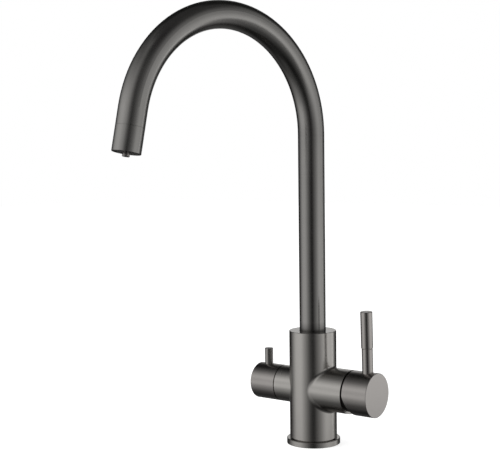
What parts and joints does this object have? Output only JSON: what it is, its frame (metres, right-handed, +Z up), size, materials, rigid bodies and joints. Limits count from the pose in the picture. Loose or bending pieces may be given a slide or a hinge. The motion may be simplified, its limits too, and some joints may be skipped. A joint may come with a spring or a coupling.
{
  "type": "kitchen mixer tap",
  "caption": "Deck-mounted kitchen mixer tap: swivelling swan-neck spout, side knob with a long pin lever for mixed water, smaller side knob with a short pin for filtered water.",
  "frame": {"origin": "centre of the tap's underside, on the worktop plane and on the spout's swivel axis", "axes": "+Z up along the body and the spout's swivel axis; +X along the barrels' axis towards the mixer knob; -Y towards the user"},
  "size_m": [0.1348, 0.2499, 0.413],
  "materials": {
    "gunmetal": "satin",
    "gunmetal_dark": "satin",
    "brass": "satin",
    "steel": "satin",
    "rubber": "matte",
    "ceramic": "satin",
    "cartridge_plastic": "matte",
    "slip_plastic": "satin",
    "tube_plastic": "satin",
    "outlet_plastic": "matte"
  },
  "bodies": {
    "tap": {"tap_body": "gunmetal", "base_ring": "gunmetal", "base_seal": "rubber", "inlet_block": "brass", "inlet_block_seal": "rubber", "spout_retaining_screw": "steel", "cartridge_base": "cartridge_plastic", "fixed_ceramic_disc": "ceramic", "cartridge_port_seals": "rubber", "cartridge_housing": "cartridge_plastic", "cartridge_nut": "brass", "bonnet_dome": "gunmetal_dark", "filter_valve_body": "brass", "filter_valve_seal": "rubber", "filter_fixed_disc": "ceramic"},
    "spout": {"spout_tube": "gunmetal", "spout_ferrule": "brass", "spout_slip_rings": "slip_plastic", "spout_o_rings": "rubber", "filter_inner_tube": "tube_plastic", "filter_tube_connector": "brass", "connector_o_ring": "rubber", "outlet_sleeve": "gunmetal", "outlet_gasket": "rubber", "outlet_insert": "outlet_plastic", "filter_nozzle": "gunmetal_dark"},
    "temperature_rotor": {"cartridge_rotor": "cartridge_plastic", "cartridge_pivot_pin": "steel"},
    "mixer_handle": {"mixer_knob": "gunmetal", "cartridge_stem": "brass", "handle_set_screw": "steel", "lever_stem": "gunmetal", "lever_grip": "gunmetal"},
    "disc_slider": {"moving_ceramic_disc": "ceramic", "disc_carrier": "cartridge_plastic"},
    "filter_handle": {"filter_knob": "gunmetal", "filter_pin": "gunmetal", "filter_spindle": "brass", "spindle_o_ring": "rubber", "filter_moving_disc": "ceramic", "filter_set_screw": "steel"}
  },
  "joints": [
    {"name": "spout_swivel", "type": "hinge", "parent": "tap", "child": "spout", "pos_m": [0, 0, 0.09], "axis": [0, 0, 1], "continuous": true},
    {"name": "mixer_temperature", "type": "hinge", "parent": "tap", "child": "temperature_rotor", "pos_m": [0.038, 0, 0.0537], "axis": [1, 0, 0], "range_deg": [-45, 45]},
    {"name": "mixer_flow", "type": "hinge", "parent": "temperature_rotor", "child": "mixer_handle", "pos_m": [0.038, 0, 0.0537], "axis": [0, 1, 0], "range_deg": [0, 20]},
    {"name": "disc_slide", "type": "slide", "parent": "temperature_rotor", "child": "disc_slider", "axis": [0, 0, 1], "range_m": [0, 0.0042]},
    {"name": "filter_turn", "type": "hinge", "parent": "tap", "child": "filter_handle", "pos_m": [-0.036, 0, 0.0537], "axis": [1, 0, 0], "range_deg": [0, 90]}
  ],
  "couplings": [
    {"joint": "disc_slide", "follows": "mixer_flow", "m_per_rad": 0.012}
  ]
}
